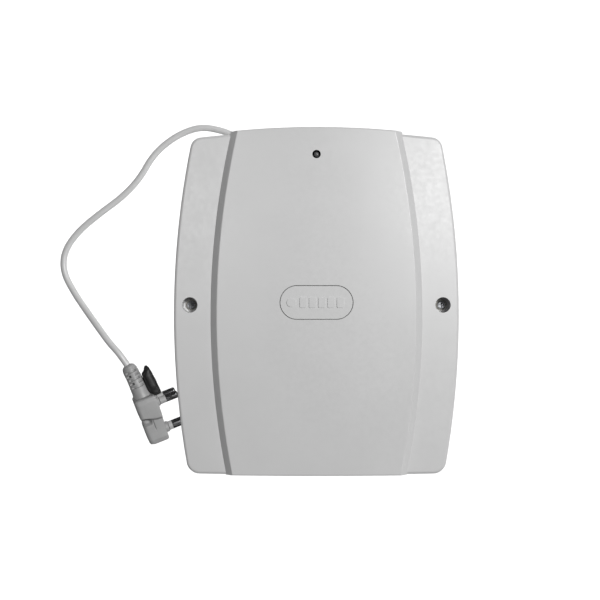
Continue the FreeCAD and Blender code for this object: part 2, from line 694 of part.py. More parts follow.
def make_lamp():
    low = LAMP_TOP_Z - 6.4
    flange = cylinder(3.0, LAMP_X, LAMP_Y, low, low + 1)
    stem = cylinder(LAMP_RADIUS, LAMP_X, LAMP_Y, low, LAMP_TOP_Z - LAMP_RADIUS)
    dome = Part.makeSphere(LAMP_RADIUS, Vector(LAMP_X, LAMP_Y, LAMP_TOP_Z - LAMP_RADIUS))
    dome = dome.common(box((-9, LAMP_Y - 9, LAMP_TOP_Z - LAMP_RADIUS), (9, LAMP_Y + 9, LAMP_TOP_Z + 1)))
    return joined([flange, stem, dome])


def make_heat_sink():
    x0, x1, y0, y1 = -16.0, 34.0, 86.0, 101.0
    sink = box((x0, y0, BOARD_TOP), (x1, y0 + 2.6, BOARD_TOP + 30))
    fins = []
    for i in range(9):
        x = x0 + i * (x1 - x0 - 1.6) / 8
        fins.append(box((x, y0 + 2, BOARD_TOP), (x + 1.6, y1, BOARD_TOP + 30)))
    return joined([sink] + fins)


def make_regulator():
    body = box((4, 81.4, BOARD_TOP + 4), (14.2, 84.6, BOARD_TOP + 13))
    tab = box((4, 84.6, BOARD_TOP + 4), (14.2, 86, BOARD_TOP + 20))
    legs = [box((6 + 2.54 * i, 82.8, BOARD_TOP), (6.8 + 2.54 * i, 83.5, BOARD_TOP + 4)) for i in range(3)]
    return joined([body, tab] + legs)


def make_rectifier():
    body = box((-12, 62, BOARD_TOP + 3), (8, 68, BOARD_TOP + 18))
    legs = [box((-9.5 + 5 * i, 64.6, BOARD_TOP), (-8.6 + 5 * i, 65.4, BOARD_TOP + 3)) for i in range(4)]
    return joined([body] + legs)


def make_capacitors():
    cans = []
    for radius, height, x, y in ((9.0, 36.0, 30.0, 62.0), (6.5, 26.0, 50.0, 60.0), (4.0, 12.0, 64.0, 46.0)):
        can = cylinder(radius, x, y, BOARD_TOP, BOARD_TOP + height)
        can = can.makeFillet(0.8, [e for e in can.Edges if e.BoundBox.ZMin > BOARD_TOP + 1])
        cans.append(can)
    return Part.makeCompound(cans)


def make_relay():
    return soft_box((46, 84, BOARD_TOP), (65, 100, BOARD_TOP + 15.5), 0.6)


def make_chips():
    chips = []
    for x, y in ((44.0, 112.0), (44.0, 126.0)):
        chips.append(box((x, y - 3.2, BOARD_TOP + 0.8), (x + 19.5, y + 3.2, BOARD_TOP + 4.2)))
        for i in range(8):
            leg_x = x + 0.9 + 2.5 * i
            chips.append(box((leg_x, y - 4, BOARD_TOP), (leg_x + 0.5, y - 3.3, BOARD_TOP + 2.4)))
            chips.append(box((leg_x, y + 3.3, BOARD_TOP), (leg_x + 0.5, y + 4, BOARD_TOP + 2.4)))
    return Part.makeCompound(chips)


def make_fuse_clips():
    clips = []
    for x in (FUSE_X0 + 0.4, FUSE_X0 + FUSE_LENGTH - 5.0):
        foot = box((x, FUSE_Y - 3.4, BOARD_TOP), (x + 4.6, FUSE_Y + 3.4, BOARD_TOP + 0.6))
        blades = [box((x, FUSE_Y - 3.4, BOARD_TOP), (x + 4.6, FUSE_Y - 2.9, FUSE_Z + 2.4)),
                  box((x, FUSE_Y + 2.9, BOARD_TOP), (x + 4.6, FUSE_Y + 3.4, FUSE_Z + 2.4))]
        clips.append(joined([foot] + blades))
    return Part.makeCompound(clips)


def make_fuse():
    end = (FUSE_X0 + FUSE_LENGTH - 4, FUSE_Y, FUSE_Z)
    glass = cylinder_along(FUSE_RADIUS - 0.25, (FUSE_X0 + 4, FUSE_Y, FUSE_Z), end)
    caps = []
    for x in (FUSE_X0, FUSE_X0 + FUSE_LENGTH - 5):
        caps.append(cylinder_along(FUSE_RADIUS, (x, FUSE_Y, FUSE_Z), (x + 5, FUSE_Y, FUSE_Z)))
    return joined([glass] + caps)


def make_output_block():
    y0 = OUTPUT_Y0 - OUTPUT_PITCH / 2 - 1
    y1 = OUTPUT_Y0 + (OUTPUT_COUNT - 0.5) * OUTPUT_PITCH + 1
    block = box((OUTPUT_X - 5.5, y0, BOARD_TOP), (OUTPUT_X + 6.5, y1, BOARD_TOP + 12))
    chamfer = [e for e in block.Edges if e.BoundBox.ZMin > BOARD_TOP + 11 and e.BoundBox.YLength > 5]
    block = block.makeChamfer(1.5, chamfer)
    for i in range(OUTPUT_COUNT):
        y = OUTPUT_Y0 + i * OUTPUT_PITCH
        block = block.cut(cylinder(2.05, OUTPUT_X, y, BOARD_TOP + 6, BOARD_TOP + 13))
        low = (OUTPUT_X + 3, y - 1.7, BOARD_TOP + 1.6)
        block = block.cut(box(low, (OUTPUT_X + 8, y + 1.7, BOARD_TOP + 5.4)))
    return block


def make_output_screw(index):
    y = OUTPUT_Y0 + index * OUTPUT_PITCH
    z = BOARD_TOP + 6.1
    screw = cylinder(1.99, OUTPUT_X, y, z, z + 3)
    return screw.cut(box((OUTPUT_X - 3, y - 0.35, z + 1.8), (OUTPUT_X + 3, y + 0.35, z + 4)))


def make_lead_connectors():
    """Plug-in sockets on the board's lower edge: transformer at the left, battery at the right."""
    blocks = []
    for x0, x1 in ((-13.5, -1.5), (47.0, 65.0)):
        blocks.append(box((x0, BOARD_Y0 - 1, BOARD_TOP), (x1, BOARD_Y0 + 9, BOARD_TOP + 8)))
    return Part.makeCompound(blocks)


# ---- Battery -----------------------------------------------------------------------------------------------


def make_battery_case():
    half = BATTERY[0] / 2
    high = (half, BATTERY_TOP_Y - BATTERY_LID_DEPTH, BATTERY_Z1)
    return soft_box((-half, BATTERY_LOW_Y, BATTERY_Z0), high, 1.5)


def make_battery_lid():
    half = BATTERY[0] / 2
    y0 = BATTERY_TOP_Y - BATTERY_LID_DEPTH
    lid = box((-half, y0, BATTERY_Z0), (half, BATTERY_TOP_Y, BATTERY_Z1))
    lid = lid.makeFillet(1.5, [e for e in lid.Edges if e.BoundBox.YLength > 5 or e.BoundBox.YMin > y0 + 1])
    for side in (-1, 1):
        x = side * TAB_X
        lid = lid.cut(box((x - 6, BATTERY_TOP_Y - 3, TAB_Z - 6), (x + 6, BATTERY_TOP_Y + 1, TAB_Z + 6)))
    return lid


def make_battery_tabs():
    tabs = []
    for side in (-1, 1):
        x = side * TAB_X
        low = (x - 2.4, BATTERY_TOP_Y - 3, TAB_Z - 0.4)
        tabs.append(box(low, (x + 2.4, BATTERY_TOP_Y + 3.4, TAB_Z + 0.4)))
    return Part.makeCompound(tabs)


def make_spade_sleeves():
    sleeves = []
    for side in (-1, 1):
        x = side * TAB_X
        sleeves.append(soft_box((x - 3.6, BATTERY_TOP_Y + 3.5, TAB_Z - 2.4),
                                (x + 3.6, BATTERY_TOP_Y + 16, TAB_Z + 2.4), 0.9))
    return Part.makeCompound(sleeves)


def make_battery_bar():
    z = BATTERY_Z1
    bar = rounded_box((-PILLAR_X - 7, PILLAR_Y - 8, z), (PILLAR_X + 7, PILLAR_Y + 8, z + 2), 4.0)
    ribs = [box((-70, PILLAR_Y + s * 5 - 0.8, z + 1), (70, PILLAR_Y + s * 5 + 0.8, z + 3.6)) for s in (-1, 1)]
    return joined([bar] + ribs)


def make_bar_screws():
    return Part.makeCompound([pan_head(3.1, s * PILLAR_X, PILLAR_Y, BATTERY_Z1 + 2) for s in (-1, 1)])


def make_battery_lead(side):
    y = BATTERY_TOP_Y + 16.1
    socket = BOARD_Y0 - 1.1
    if side > 0:
        points = [(TAB_X, y, TAB_Z), (TAB_X, y + 9, TAB_Z), (TAB_X - 1.5, y + 20, TAB_Z - 13),
                  (TAB_X - 3, y + 28, TAB_Z - 29), (TAB_X - 4.5, y + 38, TAB_Z - 38),
                  (60, socket - 9, 17.6), (60, socket, 17.6)]
    else:
        points = [(-TAB_X, y, TAB_Z), (-TAB_X, y + 9, TAB_Z), (-58, y + 17, TAB_Z - 14),
                  (-42, y + 20, TAB_Z - 28), (-22, y + 21, TAB_Z - 37), (0, y + 22, 19.5),
                  (22, y + 25, 17.6), (40, y + 33, 17), (52, socket - 9, 17.6), (52, socket, 17.6)]
    return tube(points, 2.8)


# ---- Plug --------------------------------------------------------------------------------------------------
def place_plug(shape):
    """Move a plug piece from its own frame: +X along the pins, +Y towards the lead, +Z up."""
    turn = FreeCAD.Rotation(Z_AXIS, PLUG_TURN)
    tilt = FreeCAD.Rotation(X_AXIS, PLUG_TILT)
    roll = FreeCAD.Rotation(Y_AXIS, PLUG_ROLL)
    moved = shape.copy()
    moved.Placement = FreeCAD.Placement(PLUG_PLACE, turn * tilt * roll)
    return moved


PIN_PLACES = {
    "line": (0.0, LIVE_PIN_SPACING / 2, LIVE_PIN_RADIUS, LIVE_PIN_LENGTH),
    "neutral": (0.0, -LIVE_PIN_SPACING / 2, LIVE_PIN_RADIUS, LIVE_PIN_LENGTH),
    "earth": (-EARTH_PIN_DISTANCE, 0.0, EARTH_PIN_RADIUS, EARTH_PIN_LENGTH),
}


def make_plug_body():
    outline = [(PLUG_TOP, -SHOULDER_HALF + 3), (PLUG_TOP - 3, -SHOULDER_HALF),
               (SHOULDER_END, -SHOULDER_HALF), (SHOULDER_END - 4, -FOOT_HALF),
               (PLUG_BOTTOM + 6, -FOOT_HALF + 0.6), (PLUG_BOTTOM, -FOOT_HALF + 7)]
    outline = outline + [(y, -z) for y, z in reversed(outline)]
    points = [Vector(-PLUG_DEPTH, y, z) for y, z in outline]
    face = Part.Face(Part.makePolygon(points + points[:1]))
    body = face.extrude(Vector(PLUG_DEPTH, 0, 0))
    body = body.makeFillet(1.6, [e for e in body.Edges if e.BoundBox.XMax < -PLUG_DEPTH + 0.1])
    bosses = []
    for y, z, radius, _ in PIN_PLACES.values():
        bosses.append(cylinder_along(radius + 0.9, (-1, y, z), (PIN_BOSS, y, z)))
    body = joined([body] + bosses)
    for y, z, radius, _ in PIN_PLACES.values():
        body = body.cut(cylinder_along(radius, (-8, y, z), (PIN_BOSS + 1, y, z)))
    return body


def boot_point(share):
    """A point on the boot's bent centre line: 0 at the body, 1 at the tip."""
    return Vector(-11.6 - 2.6 * share ** 2, PLUG_TOP + BOOT_LENGTH * share, 0)


def make_plug_boot():
    """Ribbed strain relief: a stack of discs on a tapered core that bends slightly towards the back."""
    core = between_discs(boot_point(0.0), boot_point(0.97), 6.6, 5.4)
    root = between_discs(boot_point(0.0), boot_point(0.28), 8.0, 7.9)
    collar = between_discs(boot_point(0.76), boot_point(1.0), 7.3, 7.0)
    pieces = [core, root, collar]
    for share in (0.36, 0.5, 0.64):
        pieces.append(between_discs(boot_point(share), boot_point(share + 0.085), 7.8 - share, 7.8 - share))
    return joined(pieces).cut(make_plug_body())


def between_discs(start, end, radius_start, radius_end):
    direction = end - start
    if abs(radius_start - radius_end) < 1e-6:
        return Part.makeCylinder(radius_start, direction.Length, start, direction)
    return Part.makeCone(radius_start, radius_end, direction.Length, start, direction)


def make_plug_tab():
    """Black finger tab that stands out past the body beside the boot, on the pin side."""
    y0 = PLUG_TOP - 2.6
    profile = [(0.2, y0), (7.2, y0), (6.2, 18.4), (4.6, 32.2), (2.8, 35.0), (0.7, 34.6), (-0.6, 32.3),
               (-4.3, 28.6), (-3.8, 18.5), (-2.5, 11.5), (0.2, PLUG_TOP + 0.3)]
    half = 12.0
    points = [Vector(x, y, -half) for x, y in profile]
    face = Part.Face(Part.makePolygon(points + points[:1]))
    tab = face.extrude(Vector(0, 0, 2 * half))
    for z in (LIVE_PIN_SPACING / 2, -LIVE_PIN_SPACING / 2):
        tab = tab.cut(cylinder_along(LIVE_PIN_RADIUS + 1.2, (-2, 0, z), (9, 0, z)))
    boot_room = between_discs(boot_point(-0.1), boot_point(1.1), 8.6, 8.0)
    return tab.cut(boot_room)


def make_pin(name):
    y, z, radius, length = PIN_PLACES[name]
    tip = PIN_BOSS + length
    pin = cylinder_along(radius, (-8, y, z), (tip, y, z))
    pin = pin.makeFillet(0.55 * radius, [e for e in pin.Edges if e.BoundBox.XMin > tip - 0.1])
    sleeve = EARTH_SLEEVE if name == "earth" else LIVE_SLEEVE
    thinner = cylinder_along(radius + 1, (PIN_BOSS, y, z), (PIN_BOSS + sleeve, y, z))
    thinner = thinner.cut(cylinder_along(radius - SLEEVE_WALL, (0, y, z), (tip, y, z)))
    return pin.cut(thinner)


def make_pin_sleeves():
    sleeves = []
    for name, (y, z, radius, _) in PIN_PLACES.items():
        length = EARTH_SLEEVE if name == "earth" else LIVE_SLEEVE
        outer = cylinder_along(radius, (PIN_BOSS, y, z), (PIN_BOSS + length, y, z))
        inner = cylinder_along(radius - SLEEVE_WALL, (0, y, z), (PIN_BOSS + length + 1, y, z))
        sleeves.append(outer.cut(inner))
    return Part.makeCompound(sleeves)


# ---- Everything --------------------------------------------------------------------------------------------
def make_all():
    save("base_housing", make_base())
    save("cover", make_cover())
    save("badge_plate", make_badge())
    for name, side in (("left", -1), ("right", 1)):
        x = side * WELL_X
        save("screw_" + name, make_screw(x))
        save("washer_" + name, ring(WASHER_RADIUS, SCREW_RADIUS + SCREW_CLEARANCE, x, WELL_Y,
                                    WELL_FLOOR_Z, WELL_FLOOR_Z + WASHER_THICKNESS))
    save("tower_inserts", make_inserts())

    save("cord_boot", make_cord_boot())
    save("mains_cord", tube(CORD_ROUTE, CORD_DIAMETER, "mains_cord"))
    tail_ends = ((EXIT_X, TAIL_END_Y, EXIT_Z), (EXIT_X, BOOT_TIP_Y, EXIT_Z))
    save("cord_tail", cylinder_along(CORD_DIAMETER / 2, *tail_ends))
    save("cord_clamp", make_clamp())
    save("clamp_screws", make_clamp_screws())
    save("mains_block", make_mains_block())
    save("mains_block_screws", make_block_screws())
    for index, name in enumerate(("line", "neutral", "earth")):
        save("core_" + name, make_core(index))

    save("transformer_core", make_transformer_core())
    save("transformer_bobbin", make_bobbin())
    save("transformer_windings", make_windings())
    save("transformer_frame", make_transformer_frame())
    save("transformer_screws", make_transformer_screws())
    save("primary_wires", make_primary_wires())
    save("earth_wire", make_earth_wire())
    save("secondary_wires", make_secondary_wires())

    save("circuit_board", make_board())
    save("board_screws", make_board_screws())
    save("lamp_post", make_lamp_post())
    save("led_lamp", make_lamp())
    save("heat_sink", make_heat_sink())
    save("regulator", make_regulator())
    save("rectifier", make_rectifier())
    save("capacitors", make_capacitors())
    save("relay", make_relay())
    save("chips", make_chips())
    save("fuse_clips", make_fuse_clips())
    save("fuse_link", make_fuse())
    save("output_block", make_output_block())
    for index in range(OUTPUT_COUNT):
        save("output_screw_%d" % (index + 1), make_output_screw(index))
    save("lead_connectors", make_lead_connectors())

    half = BATTERY[0] / 2
    save("foam_pad", box((-half, BATTERY_LOW_Y + 2, BACK_THICKNESS), (half, BATTERY_TOP_Y - 2, BATTERY_Z0)))
    save("battery_case", make_battery_case())
    save("battery_lid", make_battery_lid())
    save("battery_tabs", make_battery_tabs())
    save("spade_sleeves", make_spade_sleeves())
    save("battery_bar", make_battery_bar())
    save("bar_screws", make_bar_screws())
    save("lead_positive", make_battery_lead(1))
    save("lead_negative", make_battery_lead(-1))

    save("plug_body", place_plug(make_plug_body()))
    save("plug_boot", place_plug(make_plug_boot()))
    save("plug_tab", place_plug(make_plug_tab()))
    for name in PIN_PLACES:
        save("pin_" + name, place_plug(make_pin(name)))
    save("pin_sleeves", place_plug(make_pin_sleeves()))


os.makedirs("parts", exist_ok=True)
make_all()
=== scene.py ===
"""Looks for the wall-mount power supply: camera, light, floor, materials,
and the pieces that CAD keeps plain.

Metres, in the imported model's own frame: +Z out of the front cover, +Y to the
top of the unit. Lengths that are written in millimetres go through MM.
"""
import json
import math

import bpy
from mathutils import Matrix, Vector


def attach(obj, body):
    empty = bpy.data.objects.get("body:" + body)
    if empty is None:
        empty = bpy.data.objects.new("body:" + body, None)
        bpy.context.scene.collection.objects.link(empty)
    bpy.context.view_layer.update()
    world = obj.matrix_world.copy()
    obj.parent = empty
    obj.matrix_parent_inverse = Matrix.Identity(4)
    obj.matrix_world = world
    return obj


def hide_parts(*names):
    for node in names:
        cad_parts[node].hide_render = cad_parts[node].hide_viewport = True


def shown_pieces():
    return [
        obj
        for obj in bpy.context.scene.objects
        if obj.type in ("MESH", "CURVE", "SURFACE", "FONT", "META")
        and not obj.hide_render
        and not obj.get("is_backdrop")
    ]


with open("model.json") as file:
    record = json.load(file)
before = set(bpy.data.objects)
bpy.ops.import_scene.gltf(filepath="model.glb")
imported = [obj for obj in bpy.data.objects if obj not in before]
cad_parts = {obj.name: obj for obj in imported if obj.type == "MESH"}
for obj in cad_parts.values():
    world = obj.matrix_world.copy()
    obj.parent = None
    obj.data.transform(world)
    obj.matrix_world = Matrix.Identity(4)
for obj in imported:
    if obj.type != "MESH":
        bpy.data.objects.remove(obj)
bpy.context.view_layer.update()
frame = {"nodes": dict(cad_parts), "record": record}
NODES = frame["nodes"]
MOUNTS = {mount["name"]: mount for mount in frame["record"]["mounts"]}
MM = 0.001

# ---- Camera: straight above the unit -------------------------------------------------------------
CAMERA_PLACE = Vector((-0.0153, 0.0009, 1.2))
CAMERA_LENS = 72.0

camera = bpy.data.objects.new("camera", bpy.data.cameras.new("camera"))
bpy.context.scene.collection.objects.link(camera)
camera.location = CAMERA_PLACE
camera.data.lens = CAMERA_LENS
camera.data.sensor_width = 36.0
bpy.context.scene.camera = camera

# ---- Mains lead ----------------------------------------------------------------------------------
CORD_DIAMETER = 0.0064
CORD_ROUTE = [
    (-0.0630, 0.1315, 0.0100),
    (-0.0630, 0.1395, 0.0100),
    (-0.0663, 0.1500, 0.0092),
    (-0.0726, 0.1590, 0.0080),
    (-0.0815, 0.1650, 0.0066),
    (-0.0965, 0.1705, 0.0050),
    (-0.1140, 0.1732, 0.0039),
    (-0.1315, 0.1680, 0.0033),
    (-0.1480, 0.1580, 0.0032),
    (-0.1630, 0.1435, 0.0032),
    (-0.1750, 0.1220, 0.0032),
    (-0.1925, 0.1035, 0.0032),
    (-0.2145, 0.0875, 0.0032),
    (-0.2365, 0.0695, 0.0032),
    (-0.2505, 0.0495, 0.0032),
    (-0.2515, 0.0290, 0.0034),
    (-0.2400, 0.0080, 0.0060),
    (-0.2250, -0.0120, 0.0135),
    (-0.2110, -0.0290, 0.0235),
    (-0.2005, -0.0420, 0.0293),
    (-0.1910, -0.0515, 0.0318),
    (-0.1836, -0.0627, 0.0306),
]


def make_cord():
    """A mesh tube along the route's smooth spline, and the points of that spline."""
    curve = bpy.data.curves.new("lead_route", "CURVE")
    curve.dimensions = "3D"
    spline = curve.splines.new("NURBS")
    spline.points.add(len(CORD_ROUTE) - 1)
    for point, place in zip(spline.points, CORD_ROUTE):
        point.co = (*place, 1.0)
    spline.order_u = 3
    spline.use_endpoint_u = True
    spline.resolution_u = 12
    route = bpy.data.objects.new("lead_route", curve)
    path = [vertex.co.copy() for vertex in bpy.data.meshes.new_from_object(route).vertices]
    curve.bevel_depth = CORD_DIAMETER / 2
    curve.bevel_resolution = 6
    curve.use_fill_caps = True
    mesh = bpy.data.meshes.new_from_object(route)
    mesh.shade_smooth()
    cord = bpy.data.objects.new("lead", mesh)
    bpy.context.scene.collection.objects.link(cord)
    bpy.data.objects.remove(route)
    return cord, path


lead, lead_path = make_cord()


# ---- Materials -----------------------------------------------------------------------------------
class Shader:
    """A Principled material with helpers that add procedural detail in the model's own coordinates."""

    def __init__(self, name, colour, roughness, metallic=0.0, specular=0.5, coat=0.0):
        self.material = bpy.data.materials.new(name)
        self.material.use_nodes = True
        self.tree = self.material.node_tree
        self.bsdf = self.tree.nodes["Principled BSDF"]
        self.bsdf.inputs["Base Color"].default_value = (*colour, 1.0)
        self.bsdf.inputs["Roughness"].default_value = roughness
        self.bsdf.inputs["Metallic"].default_value = metallic
        self.bsdf.inputs["Specular IOR Level"].default_value = specular
        self.bsdf.inputs["Coat Weight"].default_value = coat
        self.colour = colour
        self.roughness = roughness
        self.last_normal = None
        self.last_colour = None

    def add(self, kind):
        return self.tree.nodes.new(kind)

    def link(self, output, socket):
        self.tree.links.new(output, socket)

    def place(self, stretch=(1.0, 1.0, 1.0), turn=(0.0, 0.0, 0.0)):
        coordinates = self.add("ShaderNodeTexCoord")
        mapping = self.add("ShaderNodeMapping")
        mapping.inputs["Scale"].default_value = stretch
        mapping.inputs["Rotation"].default_value = turn
        self.link(coordinates.outputs["Object"], mapping.inputs["Vector"])
        return mapping.outputs["Vector"]

    def noise(self, size, stretch=(1.0, 1.0, 1.0), detail=3.0):
        """Noise whose blobs are about size metres across. Its values spread around 0.5."""
        node = self.add("ShaderNodeTexNoise")
        node.inputs["Scale"].default_value = 1.0 / size
        node.inputs["Detail"].default_value = detail
        self.link(self.place(stretch), node.inputs["Vector"])
        return node.outputs["Fac"]

    def bands(self, size, direction="X", turn=(0.0, 0.0, 0.0), distortion=0.0, profile="SIN"):
        node = self.add("ShaderNodeTexWave")
        node.bands_direction = direction
        node.wave_profile = profile
        node.inputs["Scale"].default_value = math.pi / 10.0 / size
        node.inputs["Distortion"].default_value = distortion
        self.link(self.place(turn=turn), node.inputs["Vector"])
        return node.outputs["Fac"]

    def levels(self, value, low, high, to_low=0.0, to_high=1.0):
        node = self.add("ShaderNodeMapRange")
        node.inputs["From Min"].default_value = low
        node.inputs["From Max"].default_value = high
        node.inputs["To Min"].default_value = to_low
        node.inputs["To Max"].default_value = to_high
        self.link(value, node.inputs["Value"])
        return node.outputs["Result"]

    def tint(self, value, colour, low=0.0, high=1.0):
        """Blend towards colour where value is high."""
        mix = self.add("ShaderNodeMix")
        mix.data_type = "RGBA"
        self.link(self.levels(value, low, high), mix.inputs["Factor"])
        if self.last_colour is None:
            mix.inputs["A"].default_value = (*self.colour, 1.0)
        else:
            self.link(self.last_colour, mix.inputs["A"])
        mix.inputs["B"].default_value = (*colour, 1.0)
        self.last_colour = mix.outputs["Result"]
        self.link(self.last_colour, self.bsdf.inputs["Base Color"])
        return self

    def shade(self, value, low, high, change):
        """Vary the colour's brightness by a share."""
        return self.tint(value, [c * (1.0 + change) for c in self.colour], low, high)

    def gloss(self, value, low, high, change):
        result = self.levels(value, low, high, self.roughness - change, self.roughness + change)
        self.link(result, self.bsdf.inputs["Roughness"])
        return self

    def relief(self, value, depth, strength=0.5):
        bump = self.add("ShaderNodeBump")
        bump.inputs["Strength"].default_value = strength
        bump.inputs["Distance"].default_value = depth
        self.link(value, bump.inputs["Height"])
        if self.last_normal is not None:
            self.link(self.last_normal, bump.inputs["Normal"])
        self.last_normal = bump.outputs["Normal"]
        self.link(self.last_normal, self.bsdf.inputs["Normal"])
        return self


def grey(level):
    return (level, level, level)


def plastic(name, colour, roughness, grain=0.35 * MM, depth=0.012 * MM, blotch=0.03, change=-0.05):
    """Moulded plastic: fine mould texture, slow drift of tone, and patches of slightly other gloss."""
    made = Shader(name, colour, roughness)
    made.shade(made.noise(blotch), 0.38, 0.66, change)
    made.gloss(made.noise(4 * MM), 0.3, 0.7, 0.04)
    made.relief(made.noise(grain, detail=2.0), depth)
    return made


def metal(name, colour, roughness, stretch=(1.0, 1.0, 1.0)):
    """Bare or plated metal, with streaks along an axis whose stretch is small."""
    made = Shader(name, colour, roughness, metallic=1.0)
    made.shade(made.noise(3 * MM, stretch), 0.35, 0.7, -0.2)
    made.gloss(made.noise(1.2 * MM, stretch), 0.3, 0.7, 0.07)
    made.relief(made.noise(0.6 * MM, stretch, 2.0), 0.006 * MM, 0.3)
    return made


TRACK_CELL = 0.013
TRACK_FOLD = 0.11


def make_materials():
    """Every material, under the name of its slot or of the piece that uses it."""
    found = {}

    shell = plastic("enclosure", grey(0.56), 0.34, grain=0.45 * MM, depth=0.008 * MM,
                    blotch=0.05, change=-0.025)
    shell.relief(shell.noise(0.07, detail=1.0), 0.12 * MM, 0.25)
    found["enclosure"] = shell
    found["housing"] = plastic("housing", grey(0.52), 0.46, blotch=0.05)

    found["steel"] = metal("steel", (0.55, 0.56, 0.58), 0.3)
    found["plated_steel"] = metal("plated_steel", (0.62, 0.63, 0.65), 0.34, (1.0, 0.12, 1.0))
    found["clip_metal"] = metal("clip_metal", (0.72, 0.72, 0.70), 0.22)
    found["tab_metal"] = metal("tab_metal", (0.70, 0.68, 0.62), 0.3)
    found["brass"] = metal("brass", (0.66, 0.48, 0.20), 0.26, (0.3, 0.3, 1.0))
    found["pin_metal"] = metal("pin_metal", (0.34, 0.34, 0.35), 0.16, (0.25, 1.0, 1.0))
    found["sink_aluminium"] = metal("sink_aluminium", (0.035, 0.036, 0.04), 0.38, (1.0, 1.0, 0.1))

    found["nylon"] = plastic("nylon", (0.66, 0.64, 0.58), 0.42)
    found["block_cream"] = plastic("block_cream", (0.66, 0.61, 0.48), 0.3)
    found["post_black"] = plastic("post_black", grey(0.018), 0.4)
    found["bobbin_black"] = plastic("bobbin_black", grey(0.022), 0.45)
    found["relay_blue"] = plastic("relay_blue", (0.02, 0.07, 0.24), 0.28)
    found["terminal_green"] = plastic("terminal_green", (0.025, 0.20, 0.055), 0.38)
    found["epoxy_black"] = plastic("epoxy_black", grey(0.02), 0.42, grain=0.2 * MM)
    found["lamp_lens"] = plastic("lamp_lens", grey(0.10), 0.22)
    found["battery_black"] = plastic("battery_black", grey(0.03), 0.5, grain=0.8 * MM, depth=0.05 * MM)
    found["sleeve_red"] = plastic("sleeve_red", (0.42, 0.02, 0.015), 0.35)

    found["lead_sheath"] = plastic("lead_sheath", grey(0.60), 0.38, grain=0.9 * MM, depth=0.01 * MM)
    found["lead_boot"] = plastic("lead_boot", grey(0.55), 0.5)
    found["plug_white"] = plastic("plug_white", grey(0.34), 0.46, blotch=0.02, change=-0.12)
    found["plug_black"] = plastic("plug_black", grey(0.018), 0.55, grain=0.3 * MM)
    found["plug_grey"] = plastic("plug_grey", grey(0.40), 0.4)

    wires = {
        "wire_brown": (0.10, 0.035, 0.012),
        "wire_blue": (0.015, 0.09, 0.42),
        "wire_white": (0.68, 0.68, 0.66),
        "wire_yellow": (0.62, 0.42, 0.03),
        "wire_red": (0.45, 0.012, 0.01),
        "wire_black": (0.012, 0.012, 0.013),
    }
    for name, colour in wires.items():
        found[name] = plastic(name, colour, 0.35, grain=0.5 * MM)
    earth = plastic("wire_green", (0.05, 0.26, 0.03), 0.35, grain=0.5 * MM)
    earth.tint(earth.bands(1.6 * MM, "DIAGONAL"), (0.72, 0.62, 0.03), 0.55, 0.6)
    found["wire_green"] = earth

    core = Shader("laminations", (0.045, 0.045, 0.05), 0.42, metallic=0.4)
    core.shade(core.noise(2 * MM), 0.35, 0.7, 0.8)
    core.relief(core.bands(0.5 * MM, "Y"), 0.08 * MM, 0.8)
    found["laminations"] = core

    tape = Shader("winding_tape", (0.55, 0.36, 0.04), 0.2, coat=0.3)
    tape.shade(tape.noise(6 * MM), 0.35, 0.7, -0.3)
    tape.relief(tape.bands(5.5 * MM, "Z", distortion=1.5, profile="SAW"), 0.15 * MM, 0.6)
    found["winding_tape"] = tape

    board = Shader("board_green", (0.012, 0.11, 0.035), 0.24, coat=0.2)
    cells = board.add("ShaderNodeTexVoronoi")
    cells.voronoi_dimensions = "2D"
    cells.distance = "CHEBYCHEV"
    cells.inputs["Scale"].default_value = 1.0 / TRACK_CELL
    board.link(board.place(), cells.inputs["Vector"])
    tracks = board.add("ShaderNodeMath")
    tracks.operation = "PINGPONG"
    tracks.inputs[1].default_value = TRACK_FOLD
    board.link(cells.outputs["Distance"], tracks.inputs[0])
    board.tint(tracks.outputs[0], (0.035, 0.21, 0.065), 0.055, 0.065)
    board.shade(board.noise(8 * MM), 0.4, 0.7, 0.35)
    board.relief(tracks.outputs[0], 0.05 * MM, 0.6)
    found["board_green"] = board

    can = Shader("capacitor_sleeve", (0.012, 0.016, 0.05), 0.25, coat=0.2)
    can.shade(can.noise(4 * MM), 0.4, 0.7, 0.3)
    can.relief(can.noise(0.7 * MM), 0.01 * MM)
    found["capacitor_sleeve"] = can

    resistor = plastic("resistor", (0.62, 0.42, 0.22), 0.3)
    resistor.tint(resistor.bands(1.25 * MM, "X"), (0.12, 0.03, 0.015), 0.68, 0.74)
    found["resistor"] = resistor
    # Dark grey for the band at the bottom of the badge's groove: painted shade, not a real part's
    # colour.
    found["groove_shade"] = plastic("groove_shade", grey(0.13), 0.6)
    found["ceramic"] = plastic("ceramic", (0.55, 0.20, 0.03), 0.35)
    label = plastic("label", grey(0.42), 0.4)
    label.tint(label.bands(4.5 * MM, "Y"), grey(0.16), 0.86, 0.9)
    found["label"] = label

    found["pad_foam"] = plastic("pad_foam", grey(0.03), 0.9, grain=1.2 * MM, depth=0.5 * MM)
    return {name: made.material for name, made in found.items()}


MATERIALS = make_materials()


def dress_frame():
    """Give each CAD node the material of its slot in the record."""
    slots = {part["node"]: part["material_slot"] for part in frame["record"]["subparts"]}
    for node, thing in NODES.items():
        thing.data.materials.clear()
        thing.data.materials.append(MATERIALS[slots[node]])


dress_frame()


# ---- Mesh helpers --------------------------------------------------------------------------------
def finish_piece(name, verts, faces, body, slot, sharp=40.0, material=None):
    mesh = bpy.data.meshes.new(name)
    mesh.from_pydata([tuple(v) for v in verts], [], faces)
    mesh.validate()
    mesh.shade_smooth()
    mesh.set_sharp_from_angle(angle=math.radians(sharp))
    mesh.materials.append(material or MATERIALS[slot])
    piece = bpy.data.objects.new(name, mesh)
    bpy.context.scene.collection.objects.link(piece)
    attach(piece, body)
    return piece


